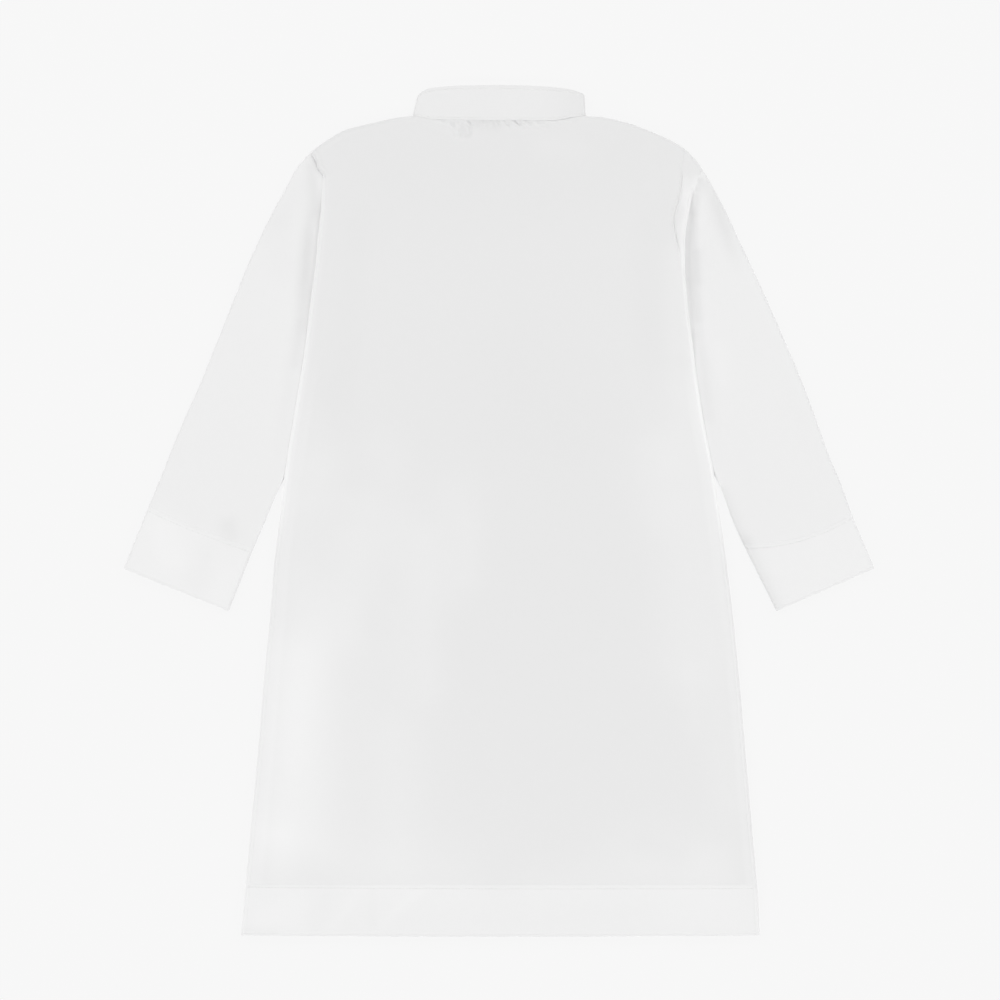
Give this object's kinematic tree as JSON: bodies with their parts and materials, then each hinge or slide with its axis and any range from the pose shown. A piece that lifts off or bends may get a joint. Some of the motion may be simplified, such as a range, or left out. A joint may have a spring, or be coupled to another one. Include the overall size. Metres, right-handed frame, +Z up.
{
  "type": "thobe robe",
  "caption": "Child's plain white thobe robe laid flat on its front: stand collar, long sleeves with deep cuffs, flared body with a deep turned-up hem.",
  "frame": {"origin": "centre of the garment's outline in plan, on the surface that it lies on", "axes": "+Z up from the surface, +Y from the hem towards the collar, +X towards the wearer's right side, so the back faces up"},
  "size_m": [0.5498, 0.623, 0.009],
  "materials": {
    "cloth": "smooth plain-woven cotton blend, softly matte",
    "doubled_cloth": "two layers of the same cloth, pressed flat",
    "button": "polished, slightly pearly"
  },
  "bodies": {
    "root": {"front_panel": "cloth", "back_panel": "cloth", "sleeve_left": "cloth", "sleeve_right": "cloth", "cuff_left": "doubled_cloth", "cuff_right": "doubled_cloth", "collar": "doubled_cloth", "placket": "doubled_cloth", "button_1": "button", "button_2": "button", "button_3": "button", "button_4": "button", "button_5": "button"}
  },
  "joints": []
}
